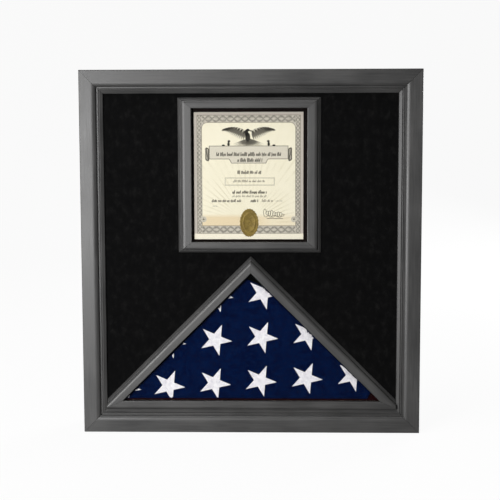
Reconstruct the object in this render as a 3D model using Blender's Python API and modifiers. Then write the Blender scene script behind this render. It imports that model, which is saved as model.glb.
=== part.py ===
"""Wall display case for a triangle-folded flag and a framed document.

The front of the case faces -Y, up is +Z, and the origin is the middle of the
underside.  Depths called `depth` run backwards from the front face.
"""

import math

import bmesh
import bpy
from mathutils import Matrix, Vector

# --- driving dimensions, in metres --------------------------------------------
CASE_WIDTH = 0.568
CASE_HEIGHT = 0.610
CASE_DEPTH = 0.090
FRONT_Y = -CASE_DEPTH / 2
SEAM = 0.00015  # half the joint line between two pieces that are glued up
GAP = 0.0003  # clearance between pieces that rest on each other

# outer moulding
MOULDING_WIDTH = 0.0390
MOULDING_DEPTH = 0.0190
LIP_DEPTH = 0.0113  # the rebate for the velvet board starts here
REBATE_EDGE = 0.0110
MOULDING_ROUND = 0.0012  # rounding of the outer edge
FLAT_END = 0.0200  # the flat face ends and the rounded slope starts
SLOPE_END = 0.0280
SLOPE_FALL = 0.0044
GROOVE_FLOOR = 0.0066
BEAD_CENTRE = 0.0310
BEAD_RADIUS = 0.0012
LIP_START = 0.0338  # the lip falls from here to its rounded inner edge
LIP_TOP = 0.0059
LIP_FOOT = 0.0098
LIP_EDGE_ROUND = 0.0020

# box behind the moulding
SIDE_THICKNESS = 0.0190
SIDE_FRONT = MOULDING_DEPTH + GAP
BACK_RABBET_EDGE = 0.0130
PANEL_THICKNESS = 0.0050
BACK_RABBET_DEPTH = CASE_DEPTH - PANEL_THICKNESS - 2 * GAP

# velvet and its board
VELVET_FRONT = LIP_DEPTH + GAP
VELVET_THICKNESS = 0.0006
BOARD_FRONT = VELVET_FRONT + VELVET_THICKNESS + GAP
BOARD_BACK = MOULDING_DEPTH - GAP
BOARD_MARGIN = REBATE_EDGE + GAP

# section shared by the document frame and the flag frame; parts of its width and drops
RIDGE_PART = 0.18
GROOVE_PART = 0.24
CREST_PART = 0.52
SIGHT_ROUND_PART = 0.05
CHAMFER_DROP = 0.0092
RIDGE_DROP = 0.0053
RIDGE_ROUND = 0.0004
GROOVE_DROP = 0.0062
CREST_ROUND = 0.0042
SIGHT_ROUND = 0.0012

# document frame
DOCUMENT_X = -0.0020
DOCUMENT_BOTTOM = 0.3065
DOCUMENT_WIDTH = 0.2380
DOCUMENT_HEIGHT = 0.2580
DOCUMENT_STILE = 0.0229
DOCUMENT_RAIL = 0.0180
DOCUMENT_FRONT = 0.0008
DOCUMENT_LIP = 0.0050
DOCUMENT_REBATE = 0.0053  # how far the lip covers the stack behind it
PAPER_WIDTH = 0.1819
PAPER_HEIGHT = 0.2116
PAPER_X = -0.0032
PAPER_Z = 0.4345
PAPER_THICKNESS = 0.0004
GLASS_THICKNESS = 0.0018
MAT_THICKNESS = 0.0015
SEAL_WIDTH = 0.0315
SEAL_HEIGHT = 0.0478
SEAL_X = PAPER_X + 0.0006
SEAL_Z = 0.3563
TAB_WIDTH = 0.0100
TAB_LENGTH = 0.0220
TAB_THICKNESS = 0.0007

# triangular flag frame, measured from its sight opening
FLAG_SIGHT_BASE = 0.0535
FLAG_SIGHT_APEX = 0.2715
FLAG_FRONT = 0.0012
FLAG_RAIL = 0.0200
FLAG_BASE_RAIL = 0.0142
FLAG_TIP_X = 0.2445
FLAG_GLASS_FRONT = 0.0087
FLAG_GLASS_THICKNESS = 0.0022
FLAG_GLASS_MARGIN = 0.0055
FLAG_REBATE = 0.0060
WELL_MARGIN = 0.0015  # well walls stand this far outside the sight opening
WALL_THICKNESS = 0.0080
WALL_BACK = 0.0800

# folded flag and its pad
CLOTH_FRONT = 0.0113
CLOTH_BACK = 0.0720
CLOTH_INSET = 0.0028
CLOTH_CORNER = 0.0060
PAD_INSET = 0.0120

# turn buttons on the back edge
BUTTON_INSET = 0.0065
BUTTON_LOW = 0.1708
BUTTON_HIGH = 0.4026
BUTTON_WIDTH = 0.0100
BUTTON_REACH = 0.0240
BUTTON_THICKNESS = 0.0020
SCREW_RADIUS = 0.0015
SCREW_HOLE_RADIUS = 0.0019
SCREW_HEAD_RADIUS = 0.0034
SCREW_HEAD_HEIGHT = 0.0014
SCREW_LENGTH = 0.0140
ROUND_STEPS = 16

# ring hangers on the back edge
HANGER_INSET = 0.0064
HANGER_WIDTH = 0.0070
HANGER_LENGTH = 0.0330
HANGER_THICKNESS = 0.0010
HANGER_PIVOT_Z = 0.5150
KNUCKLE_RADIUS = 0.00135
RING_WIRE = 0.0010
RING_HALF_WIDTH = 0.0048
RING_DROP = 0.0100

# bumpers that keep the case off the wall
BUMPER_RADIUS = 0.0050
BUMPER_THICKNESS = 0.0050
BUMPER_INSET = 0.0065
BUMPER_RISE = 0.0300

COLLECTION_NAME = "folded_flag_display_case"
CUTTER_NAME = "folded_flag_display_case_cutters"

# colour, roughness, metallic
FINISHES = {
    "black_wood": ((0.060, 0.060, 0.060, 1), 0.42, 0.0),
    "velvet": ((0.004, 0.004, 0.004, 1), 0.95, 0.0),
    "board": ((0.030, 0.028, 0.026, 1), 0.85, 0.0),
    "plywood": ((0.42, 0.29, 0.17, 1), 0.70, 0.0),
    "glass": ((0.90, 0.93, 0.93, 1), 0.05, 0.0),
    "paper": ((0.88, 0.83, 0.68, 1), 0.80, 0.0),
    "gold": ((0.48, 0.35, 0.10, 1), 0.35, 1.0),
    "flag": ((0.010, 0.020, 0.080, 1), 0.85, 0.0),
    "felt": ((0.020, 0.020, 0.022, 1), 0.95, 0.0),
    "steel": ((0.62, 0.62, 0.60, 1), 0.30, 1.0),
    "rubber": ((0.030, 0.030, 0.030, 1), 0.80, 0.0),
}


# --- scene helpers --------------------------------------------------------------
def clear_scene():
    for obj in list(bpy.data.objects):
        bpy.data.objects.remove(obj, do_unlink=True)


def new_collection(name):
    collection = bpy.data.collections.new(name)
    bpy.context.scene.collection.children.link(collection)
    return collection


def new_material(name, finish):
    colour, roughness, metallic = FINISHES[finish]
    material = bpy.data.materials.new(name)
    material.use_nodes = True
    shader = material.node_tree.nodes["Principled BSDF"]
    shader.inputs["Base Color"].default_value = colour
    shader.inputs["Roughness"].default_value = roughness
    shader.inputs["Metallic"].default_value = metallic
    material.diffuse_color = colour
    return material


def object_from_bmesh(name, bm, finish, origin=Vector((0, 0, 0))):
    """Makes a finished object whose origin is at `origin`."""
    bmesh.ops.recalc_face_normals(bm, faces=bm.faces)
    bmesh.ops.translate(bm, verts=bm.verts, vec=-origin)
    mesh = bpy.data.meshes.new(name)
    bm.to_mesh(mesh)
    bm.free()
    obj = bpy.data.objects.new(name, mesh)
    obj.location = origin
    obj.data.materials.append(new_material(name, finish))
    PARTS.objects.link(obj)
    return obj


def soften(obj, width):
    bevel = obj.modifiers.new("edge", "BEVEL")
    bevel.width = width
    bevel.segments = 1
    bevel.limit_method = "ANGLE"
    return obj


# --- shape helpers --------------------------------------------------------------
def depth_y(depth):
    return FRONT_Y + depth


def arc(centre_u, centre_d, radius_u, radius_d, start, end, steps):
    """Points of an elliptic arc in a moulding's section, angles in degrees."""
    points = []
    for i in range(steps + 1):
        angle = math.radians(start + (end - start) * i / steps)
        point = (centre_u + radius_u * math.cos(angle), centre_d + radius_d * math.sin(angle))
        points.append(point)
    return points


def extrude_outline(points, vector):
    bm = bmesh.new()
    face = bm.faces.new([bm.verts.new(point) for point in points])
    result = bmesh.ops.extrude_face_region(bm, geom=[face])
    moved = [item for item in result["geom"] if isinstance(item, bmesh.types.BMVert)]
    bmesh.ops.translate(bm, verts=moved, vec=vector)
    return bm


def prism(name, outline, front, back, finish):
    """A flat piece from an outline in X and Z and two depths."""
    points = [Vector((x, depth_y(front), z)) for x, z in outline]
    bm = extrude_outline(points, Vector((0, back - front, 0)))
    return object_from_bmesh(name, bm, finish)


def rectangle(x0, x1, z0, z1):
    return [(x0, z0), (x1, z0), (x1, z1), (x0, z1)]


def cut(bm, point, normal):
    """Cuts the solid by a plane and closes it, keeping the side behind the normal."""
    geom = bm.verts[:] + bm.edges[:] + bm.faces[:]
    result = bmesh.ops.bisect_plane(
        bm, geom=geom, plane_co=point, plane_no=normal, clear_outer=True
    )
    edges = [item for item in result["geom_cut"] if isinstance(item, bmesh.types.BMEdge)]
    bmesh.ops.edgenet_fill(bm, edges=edges)


def moulding(name, section, start, end, inward, cuts, finish):
    """Sweeps a section from start to end, then cuts its ends by the given planes.

    The section's points are (u, depth), with u measured from the line between
    start and end in the direction `inward`.
    """
    points = [start + inward * u + Vector((0, depth_y(depth), 0)) for u, depth in section]
    bm = extrude_outline(points, end - start)
    for point, normal in cuts:
        cut(bm, point, normal)
    return object_from_bmesh(name, bm, finish)


def corner_cut(outer, inner, keep):
    """The plane through an outer and an inner corner, half a joint line from it."""
    along = (inner - outer).normalized()
    normal = Vector((along.z, 0, -along.x))
    if normal.dot(keep - outer) > 0:
        normal = -normal
    return outer - normal * SEAM, normal


def rectangular_frame(names, outer, widths, section_of, finish):
    """Four mitred pieces around a rectangle, in the order bottom, right, top, left."""
    x0, x1, z0, z1 = outer
    side, rail = widths
    outers = [Vector((x, 0, z)) for x, z in rectangle(x0, x1, z0, z1)]
    inner = rectangle(x0 + side, x1 - side, z0 + rail, z1 - rail)
    inners = [Vector((x, 0, z)) for x, z in inner]
    inwards = [Vector((0, 0, 1)), Vector((-1, 0, 0)), Vector((0, 0, -1)), Vector((1, 0, 0))]
    for i, name in enumerate(names):
        j = (i + 1) % len(names)
        middle = (outers[i] + outers[j]) / 2
        section = section_of(rail if i % 2 == 0 else side)
        cuts = [corner_cut(outers[k], inners[k], middle) for k in (i, j)]
        moulding(name, section, outers[i], outers[j], inwards[i], cuts, finish)


def offset_triangle(distance, base_distance):
    """The sight triangle moved outwards by a distance on each side."""
    base = FLAG_SIGHT_BASE - base_distance
    apex = FLAG_SIGHT_APEX + distance * math.sqrt(2)
    return [(-(apex - base), base), (apex - base, base), (0, apex)]


def turned(section, centre, direction, steps):
    """A solid turned about a line through centre; the section is (radius, along)."""
    bm = bmesh.new()
    side = direction.orthogonal().normalized()
    points = [centre + side * radius + direction * along for radius, along in section]
    verts = [bm.verts.new(point) for point in points]
    edges = [bm.edges.new((verts[i], verts[i + 1])) for i in range(len(verts) - 1)]
    bmesh.ops.spin(
        bm, geom=verts + edges, cent=centre, axis=direction, angle=2 * math.pi, steps=steps
    )
    bmesh.ops.remove_doubles(bm, verts=bm.verts, dist=0.00002)
    return bm


def cutter(name, bm):
    mesh = bpy.data.meshes.new(name)
    bmesh.ops.recalc_face_normals(bm, faces=bm.faces)
    bm.to_mesh(mesh)
    bm.free()
    obj = bpy.data.objects.new(name, mesh)
    obj.hide_render = True
    obj.display_type = "WIRE"
    CUTTERS.objects.link(obj)
    return obj


def subtract(obj, tool):
    boolean = obj.modifiers.new(tool.name, "BOOLEAN")
    boolean.operation = "DIFFERENCE"
    boolean.solver = "EXACT"
    boolean.object = tool


def drill(obj, centre, length):
    """A round hole along Y, from centre towards the front."""
    section = [(0, GAP), (SCREW_HOLE_RADIUS, GAP), (SCREW_HOLE_RADIUS, -length), (0, -length)]
    bm = turned(section, centre, Vector((0, 1, 0)), ROUND_STEPS)
    subtract(obj, cutter(obj.name + "_hole", bm))


# --- case -----------------------------------------------------------------------
def outer_section(width):
    """Flat face, rounded slope, groove, bead and falling lip, with a rebate behind."""
    edge, groove, bead = MOULDING_ROUND, GROOVE_FLOOR, BEAD_RADIUS
    slope, lip = SLOPE_END - FLAT_END, LIP_EDGE_ROUND
    points = [(0, MOULDING_DEPTH)]
    points += arc(edge, edge, edge, edge, 180, 270, 3)
    points += arc(FLAT_END, SLOPE_FALL, slope, SLOPE_FALL, 270, 350, 8)
    points += [(SLOPE_END, groove), (BEAD_CENTRE - bead, groove)]
    points += arc(BEAD_CENTRE, groove, bead, bead, 200, 340, 6)
    points += [(BEAD_CENTRE + bead, groove), (LIP_START, LIP_TOP)]
    points += arc(width - lip, LIP_FOOT, lip, lip, 310, 360, 3)
    points += [(width, LIP_DEPTH), (REBATE_EDGE, LIP_DEPTH), (REBATE_EDGE, MOULDING_DEPTH)]
    return points


def side_section(width):
    return [
        (0, SIDE_FRONT),
        (width, SIDE_FRONT),
        (width, BACK_RABBET_DEPTH),
        (BACK_RABBET_EDGE, BACK_RABBET_DEPTH),
        (BACK_RABBET_EDGE, CASE_DEPTH),
        (0, CASE_DEPTH),
    ]


def build_case():
    outer = (-CASE_WIDTH / 2, CASE_WIDTH / 2, 0, CASE_HEIGHT)
    fronts = ("frame_rail_bottom", "frame_stile_right", "frame_rail_top", "frame_stile_left")
    sides = ("box_side_bottom", "box_side_right", "box_side_top", "box_side_left")
    widths = (MOULDING_WIDTH, MOULDING_WIDTH)
    rectangular_frame(fronts, outer, widths, outer_section, "black_wood")
    widths = (SIDE_THICKNESS, SIDE_THICKNESS)
    rectangular_frame(sides, outer, widths, side_section, "black_wood")


def build_board():
    """The board and the velvet on it, cut out for the document and the flag."""
    half = CASE_WIDTH / 2 - BOARD_MARGIN
    outline = rectangle(-half, half, BOARD_MARGIN, CASE_HEIGHT - BOARD_MARGIN)
    board = prism("mat_board", outline, BOARD_FRONT, BOARD_BACK, "board")
    velvet = prism("velvet_cover", outline, VELVET_FRONT, BOARD_FRONT - GAP, "velvet")
    windows = {
        "document_window": document_stack_outline(-GAP),
        "flag_window": offset_triangle(WELL_MARGIN, WELL_MARGIN),
    }
    for name, window in windows.items():
        points = [Vector((x, FRONT_Y, z)) for x, z in window]
        tool = cutter(name, extrude_outline(points, Vector((0, CASE_DEPTH, 0))))
        subtract(board, tool)
        subtract(velvet, tool)


# --- document frame -------------------------------------------------------------
def inner_moulding(width, front, lip_edge, lip, cover):
    """Steep outer chamfer, small groove and a flat bar with a rounded outer side."""
    ridge = RIDGE_PART * width
    groove_end = GROOVE_PART * width
    crest = CREST_PART * width
    points = [(groove_end, LIP_DEPTH)]
    if lip_edge:
        top, floor = front + RIDGE_DROP, front + GROOVE_DROP
        points = [(0, LIP_DEPTH), (0, front + CHAMFER_DROP)]
        points += arc(ridge, top + RIDGE_ROUND, RIDGE_ROUND, RIDGE_ROUND, 220, 340, 4)
        points += [((ridge + groove_end) / 2, floor), (groove_end, floor)]
    points += arc(crest, front + CREST_ROUND, crest - groove_end, CREST_ROUND, 180, 270, 7)
    rounding = SIGHT_ROUND_PART * width
    points += arc(width - rounding, front + SIGHT_ROUND, rounding, SIGHT_ROUND, 270, 360, 3)
    points += [(width, lip), (width - cover, lip), (width - cover, LIP_DEPTH)]
    return points


def document_section(width):
    cover = DOCUMENT_REBATE * width / DOCUMENT_STILE
    return inner_moulding(width, DOCUMENT_FRONT, True, DOCUMENT_FRONT + DOCUMENT_LIP, cover)


def document_stack_outline(clearance):
    """The outline of what lies in the frame's rebate, smaller by the clearance."""
    side = DOCUMENT_STILE - DOCUMENT_REBATE + clearance
    rail = DOCUMENT_RAIL - DOCUMENT_REBATE * DOCUMENT_RAIL / DOCUMENT_STILE + clearance
    half = DOCUMENT_WIDTH / 2 - side
    bottom = DOCUMENT_BOTTOM + rail
    top = DOCUMENT_BOTTOM + DOCUMENT_HEIGHT - rail
    return rectangle(DOCUMENT_X - half, DOCUMENT_X + half, bottom, top)


def build_document_frame():
    half = DOCUMENT_WIDTH / 2
    top = DOCUMENT_BOTTOM + DOCUMENT_HEIGHT
    outer = (DOCUMENT_X - half, DOCUMENT_X + half, DOCUMENT_BOTTOM, top)
    names = (
        "document_rail_bottom",
        "document_stile_right",
        "document_rail_top",
        "document_stile_left",
    )
    widths = (DOCUMENT_STILE, DOCUMENT_RAIL)
    rectangular_frame(names, outer, widths, document_section, "black_wood")


def build_document_stack():
    outline = document_stack_outline(GAP)
    glass = DOCUMENT_FRONT + DOCUMENT_LIP + GAP
    seal = glass + GLASS_THICKNESS + GAP
    paper = seal + PAPER_THICKNESS + GAP
    mat = paper + PAPER_THICKNESS + GAP
    backing = mat + MAT_THICKNESS + GAP
    prism("document_glass", outline, glass, glass + GLASS_THICKNESS, "glass")
    half = PAPER_WIDTH / 2
    sheet = rectangle(
        PAPER_X - half, PAPER_X + half, PAPER_Z - PAPER_HEIGHT / 2, PAPER_Z + PAPER_HEIGHT / 2
    )
    prism("certificate", sheet, paper, paper + PAPER_THICKNESS, "paper")
    oval = arc(SEAL_X, SEAL_Z, SEAL_WIDTH / 2, SEAL_HEIGHT / 2, 0, 360, 32)[:-1]
    prism("gold_seal", oval, seal, seal + PAPER_THICKNESS, "gold")
    prism("document_mat", outline, mat, mat + MAT_THICKNESS, "board")
    prism("document_backing", outline, backing, BOARD_BACK - GAP, "board")
    build_document_tabs(outline)


def build_document_tabs(outline):
    """Flat steel tabs across the edge of the backing, on the back of the board."""
    front = BOARD_BACK + GAP
    back = front + TAB_THICKNESS
    quarter = PAPER_HEIGHT / 4
    number = 0
    for x in (outline[0][0], outline[1][0]):
        for z in (PAPER_Z - quarter, PAPER_Z + quarter):
            number += 1
            tab = rectangle(
                x - TAB_LENGTH / 2, x + TAB_LENGTH / 2, z - TAB_WIDTH / 2, z + TAB_WIDTH / 2
            )
            prism(f"document_tab_{number}", tab, front, back, "steel")


# --- flag frame -----------------------------------------------------------------
def flag_section(with_lip):
    lip = FLAG_GLASS_FRONT - GAP
    return inner_moulding(FLAG_RAIL, FLAG_FRONT, with_lip, lip, FLAG_REBATE)


def build_flag_frame():
    left, right, apex = [Vector((x, 0, z)) for x, z in offset_triangle(0, 0)]
    outer = [Vector((x, 0, z)) for x, z in offset_triangle(FLAG_RAIL, FLAG_RAIL)]
    outer_left, outer_right, outer_apex = outer
    middle = Vector((0, 0, FLAG_SIGHT_BASE))
    for name, sign, corner, inner in (
        ("flag_rail_left", -1, outer_left, left),
        ("flag_rail_right", 1, outer_right, right),
    ):
        inward = Vector((-sign, 0, -1)).normalized()
        blunt = (Vector((sign * FLAG_TIP_X, 0, 0)), Vector((sign, 0, 0)))
        cuts = [corner_cut(outer_apex, apex, inner), corner_cut(corner, inner, apex), blunt]
        moulding(name, flag_section(True), corner, outer_apex, inward, cuts, "black_wood")
    tips = [(Vector((sign * FLAG_TIP_X, 0, 0)), Vector((sign, 0, 0))) for sign in (-1, 1)]
    joints = [corner_cut(outer_left, left, middle), corner_cut(outer_right, right, middle)]
    section = [(min(u, FLAG_RAIL), depth) for u, depth in flag_section(False)]
    start = FLAG_RAIL - FLAG_BASE_RAIL
    section = [(max(u, start), depth) for u, depth in section]
    moulding(
        "flag_rail_base", section, outer_left, outer_right, Vector((0, 0, 1)), joints + tips,
        "black_wood",
    )
    glass = clip_tips(offset_triangle(FLAG_GLASS_MARGIN, FLAG_GLASS_MARGIN), FLAG_TIP_X - 0.006)
    back = FLAG_GLASS_FRONT + FLAG_GLASS_THICKNESS
    prism("flag_glass", glass, FLAG_GLASS_FRONT, back, "glass")


def clip_tips(triangle, limit):
    """A triangle with its two acute tips cut off at x = -limit and x = limit."""
    base = triangle[0][1]
    apex = triangle[2][1]
    rise = apex - limit
    if rise <= base:
        return triangle
    return [(-limit, base), (limit, base), (limit, rise), (0, apex), (-limit, rise)]


def build_well():
    """Shelf and two sloping walls that hold the folded flag behind its frame."""
    front = BOARD_BACK + GAP
    shelf_top = FLAG_SIGHT_BASE - WELL_MARGIN
    half = CASE_WIDTH / 2 - SIDE_THICKNESS - GAP
    shelf = rectangle(-half, half, shelf_top - WALL_THICKNESS, shelf_top)
    prism("flag_shelf", shelf, front, WALL_BACK, "plywood")
    inner = offset_triangle(WELL_MARGIN, WELL_MARGIN)
    outer = offset_triangle(WELL_MARGIN + WALL_THICKNESS, WELL_MARGIN)
    foot = shelf_top + GAP
    for name, sign in (("flag_wall_left", -1), ("flag_wall_right", 1)):
        inner_foot = inner[2][1] - foot
        outer_foot = min(outer[2][1] - foot, half - GAP)
        rise = outer[2][1] - outer_foot
        outline = [
            (sign * inner_foot, foot),
            (sign * outer_foot, foot),
            (sign * outer_foot, rise),
            (sign * SEAM, outer[2][1] - SEAM),
            (sign * SEAM, inner[2][1] - SEAM),
        ]
        prism(name, outline, front, WALL_BACK, "plywood")


def build_flag():
    base = FLAG_SIGHT_BASE - WELL_MARGIN + GAP
    top = offset_triangle(-CLOTH_INSET, 0)[2][1]
    half = top - base
    corner = CLOTH_CORNER
    outline = [
        (-half + 2 * corner, base),
        (half - 2 * corner, base),
        (half - corner, base + corner),
        (corner, top - corner),
        (-corner, top - corner),
        (-half + corner, base + corner),
    ]
    flag = prism("folded_flag", outline, CLOTH_FRONT, CLOTH_BACK, "flag")
    soften(flag, CLOTH_CORNER / 3)


# --- back -----------------------------------------------------------------------
def build_back():
    margin = BACK_RABBET_EDGE + GAP
    half = CASE_WIDTH / 2 - margin
    outline = rectangle(-half, half, margin, CASE_HEIGHT - margin)
    front = BACK_RABBET_DEPTH + GAP
    panel = prism("back_panel", outline, front, front + PANEL_THICKNESS, "board")
    soften(panel, GAP)
    base, apex = FLAG_SIGHT_BASE, FLAG_SIGHT_APEX - PAD_INSET
    half = apex - base
    pad = clip_tips([(-half, base), (half, base), (0, apex)], half - PAD_INSET)
    prism("flag_pad", pad, CLOTH_BACK + GAP, front - GAP, "felt")


def screw(name, centre, origin):
    """A dome-head screw along -Y; centre is the underside of its head."""
    radius, head, height = SCREW_RADIUS, SCREW_HEAD_RADIUS, SCREW_HEAD_HEIGHT
    section = [(0, -SCREW_LENGTH), (radius, -SCREW_LENGTH + radius), (radius, 0), (head, 0)]
    section += arc(0, 0.0003, head, height - 0.0003, 0, 90, 4)[:-1]
    section += [(0, height)]
    bm = turned(section, centre, Vector((0, 1, 0)), ROUND_STEPS)
    obj = object_from_bmesh(name, bm, "steel", origin)
    slot = bmesh.new()
    bmesh.ops.create_cube(slot, size=1)
    size = Vector((2 * head + GAP, 2 * GAP, head / 4))
    bmesh.ops.scale(slot, verts=slot.verts, vec=size)
    bmesh.ops.rotate(slot, verts=slot.verts, matrix=Matrix.Rotation(math.radians(35), 3, "Y"))
    bmesh.ops.translate(slot, verts=slot.verts, vec=centre + Vector((0, height, 0)))
    subtract(obj, cutter(name + "_slot", slot))
    return obj


def button_places():
    """Each turn button's pivot and the way it points when clear of the panel."""
    x = CASE_WIDTH / 2 - BUTTON_INSET
    top = CASE_HEIGHT - BUTTON_INSET
    upright, level = Vector((0, 0, 1)), Vector((1, 0, 0))
    return [
        (Vector((-x, 0, BUTTON_LOW)), upright),
        (Vector((-x, 0, BUTTON_HIGH)), upright),
        (Vector((x, 0, BUTTON_LOW)), upright),
        (Vector((x, 0, BUTTON_HIGH)), upright),
        (Vector((0, 0, top)), level),
        (Vector((0, 0, BUTTON_INSET)), level),
    ]


def side_at(pivot):
    if abs(pivot.x) > CASE_WIDTH / 4:
        return "box_side_left" if pivot.x < 0 else "box_side_right"
    return "box_side_top" if pivot.z > CASE_HEIGHT / 2 else "box_side_bottom"


def build_turn_buttons():
    back = depth_y(CASE_DEPTH)
    front = back + GAP
    radius = BUTTON_WIDTH / 2
    for number, (pivot, along) in enumerate(button_places(), start=1):
        across = Vector((along.z, 0, -along.x))
        outline = arc(0, 0, radius, radius, 90, 270, 8)
        outline += arc(BUTTON_REACH - radius, 0, radius, radius, -90, 90, 8)
        points = [
            pivot + along * a + across * b + Vector((0, front, 0)) for a, b in outline
        ]
        bm = extrude_outline(points, Vector((0, BUTTON_THICKNESS, 0)))
        origin = pivot + Vector((0, front, 0))
        button = object_from_bmesh(f"turn_button_{number}", bm, "steel", origin)
        drill(button, origin + Vector((0, BUTTON_THICKNESS, 0)), 2 * BUTTON_THICKNESS)
        head = origin + Vector((0, BUTTON_THICKNESS + GAP, 0))
        screw(f"turn_button_screw_{number}", head, origin)
        side = PARTS.objects[side_at(pivot)]
        drill(side, pivot + Vector((0, back, 0)), SCREW_LENGTH)


def hanger_section():
    """The strap's outline in Y and Z: a flat plate that curls round the ring."""
    inner = KNUCKLE_RADIUS
    outer = inner + HANGER_THICKNESS
    top = HANGER_LENGTH
    points = [(-outer, top), (-outer, 0)]
    points += arc(0, 0, outer, outer, 180, 480, 15)[1:]
    points += arc(0, 0, inner, inner, 480, 180, 15)
    points += [(-inner, top)]
    return points


def build_hangers():
    back = depth_y(CASE_DEPTH)
    pivot_y = back + GAP + KNUCKLE_RADIUS + HANGER_THICKNESS
    for name, sign in (("left", -1), ("right", 1)):
        x = sign * (CASE_WIDTH / 2 - HANGER_INSET)
        pivot = Vector((x, pivot_y, HANGER_PIVOT_Z))
        start = pivot - Vector((HANGER_WIDTH / 2, 0, 0))
        points = [start + Vector((0, y, z)) for y, z in hanger_section()]
        bm = extrude_outline(points, Vector((HANGER_WIDTH, 0, 0)))
        plate = object_from_bmesh(f"hanger_plate_{name}", bm, "steel", pivot)
        side = PARTS.objects[f"box_side_{name}"]
        surface = back + GAP + HANGER_THICKNESS
        for number, rise in enumerate((HANGER_LENGTH * 0.42, HANGER_LENGTH * 0.80), start=1):
            z = HANGER_PIVOT_Z + rise
            drill(plate, Vector((x, surface, z)), 2 * HANGER_THICKNESS)
            drill(side, Vector((x, back, z)), SCREW_LENGTH)
            seat = Vector((x, surface + GAP, z))
            screw(f"hanger_screw_{name}_{number}", seat, seat)
        build_ring(f"hanger_ring_{name}", pivot)


def build_ring(name, pivot):
    """A D ring of round wire that hangs from the straight bar in the knuckle."""
    half = RING_HALF_WIDTH
    straight = RING_DROP - half
    path = [(-half, 0), (half, 0)]
    path += arc(0, -straight, half, half, 0, -180, 10)
    curve = bpy.data.curves.new(name, "CURVE")
    curve.dimensions = "3D"
    curve.bevel_depth = RING_WIRE
    curve.bevel_resolution = 2
    spline = curve.splines.new("POLY")
    spline.points.add(len(path) - 1)
    for point, (x, z) in zip(spline.points, path):
        point.co = (x, 0, z, 1)
    spline.use_cyclic_u = True
    bare = bpy.data.objects.new(name + "_path", curve)
    bm = bmesh.new()
    mesh = bpy.data.meshes.new_from_object(bare)
    bm.from_mesh(mesh)
    bmesh.ops.remove_doubles(bm, verts=bm.verts, dist=0.00002)
    bmesh.ops.translate(bm, verts=bm.verts, vec=pivot)
    bpy.data.objects.remove(bare)
    bpy.data.curves.remove(curve)
    bpy.data.meshes.remove(mesh)
    object_from_bmesh(name, bm, "steel", pivot)


def build_bumpers():
    start = depth_y(CASE_DEPTH) + GAP
    x = CASE_WIDTH / 2 - BUMPER_INSET
    number = 0
    for z in (BUMPER_RISE, CASE_HEIGHT - BUMPER_RISE):
        for sign in (-1, 1):
            number += 1
            centre = Vector((sign * x, start, z))
            top = BUMPER_THICKNESS
            section = [
                (0, 0),
                (BUMPER_RADIUS, 0),
                (BUMPER_RADIUS, 0.6 * top),
                (0.8 * BUMPER_RADIUS, top),
                (0, top),
            ]
            bm = turned(section, centre, Vector((0, 1, 0)), ROUND_STEPS)
            object_from_bmesh(f"wall_bumper_{number}", bm, "rubber", centre)


clear_scene()
PARTS = new_collection(COLLECTION_NAME)
CUTTERS = new_collection(CUTTER_NAME)
build_case()
build_board()
build_document_frame()
build_document_stack()
build_flag_frame()
build_well()
build_flag()
build_back()
build_turn_buttons()
build_hangers()
build_bumpers()
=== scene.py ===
"""Looks for a wall display case with a triangle-folded flag and a framed certificate.

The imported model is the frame.  New pieces are placed from its boxes, in metres:
the front of the case faces -Y, right is +X and up is +Z.
"""

import math
import random

import bmesh
import bpy
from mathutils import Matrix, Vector, noise
from mathutils.bvhtree import BVHTree


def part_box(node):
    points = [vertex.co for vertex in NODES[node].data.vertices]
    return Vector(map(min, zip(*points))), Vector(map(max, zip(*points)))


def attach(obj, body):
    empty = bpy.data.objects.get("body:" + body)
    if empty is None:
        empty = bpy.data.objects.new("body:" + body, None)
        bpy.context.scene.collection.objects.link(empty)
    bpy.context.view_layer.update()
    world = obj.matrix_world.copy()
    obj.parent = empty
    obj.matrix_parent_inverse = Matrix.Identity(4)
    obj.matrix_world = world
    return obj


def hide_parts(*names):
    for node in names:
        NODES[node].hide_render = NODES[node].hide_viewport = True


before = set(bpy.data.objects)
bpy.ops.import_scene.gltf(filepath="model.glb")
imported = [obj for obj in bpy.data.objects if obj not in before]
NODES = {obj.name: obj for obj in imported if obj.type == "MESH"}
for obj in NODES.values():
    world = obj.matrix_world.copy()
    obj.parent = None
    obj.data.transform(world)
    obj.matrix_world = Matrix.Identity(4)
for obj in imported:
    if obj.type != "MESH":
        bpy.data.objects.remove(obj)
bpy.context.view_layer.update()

MM = 0.001
FRONTWARDS = (math.pi / 2, 0, 0)  # turns a flat primitive to face the front
FRONT_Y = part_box("frame_stile_left")[0].y

# sight opening of the flag frame: its base, its apex, and sides at 45 degrees
WELL_MARGIN = 1.5 * MM  # how far the well behind it is larger on every side
SIGHT_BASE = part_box("flag_shelf")[1].z + WELL_MARGIN
SIGHT_APEX = 0.2715
WELL_APEX = SIGHT_APEX + WELL_MARGIN * math.sqrt(2)


# --- modelling helpers ---
def select_only(*objects):
    bpy.ops.object.select_all(action="DESELECT")
    for obj in objects:
        obj.select_set(True)
    bpy.context.view_layer.objects.active = objects[0]


def edit(obj, mode="FACE"):
    """Opens the piece in edit mode with all of it selected."""
    select_only(obj)
    bpy.ops.object.mode_set(mode="EDIT")
    bpy.ops.mesh.select_mode(type=mode)
    bpy.ops.mesh.select_all(action="SELECT")


def close_edit():
    bpy.ops.object.mode_set(mode="OBJECT")


def pick(obj, kind, test):
    """Selects the "verts", "edges" or "faces" that pass the test, in edit mode."""
    bpy.ops.mesh.select_all(action="DESELECT")
    bm = bmesh.from_edit_mesh(obj.data)
    for element in getattr(bm, kind):
        if test(element):
            element.select_set(True)
    bmesh.update_edit_mesh(obj.data)


def centre_of(element):
    """The middle of an edge's or face's corners."""
    return sum((vert.co for vert in element.verts), Vector()) / len(element.verts)


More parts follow.
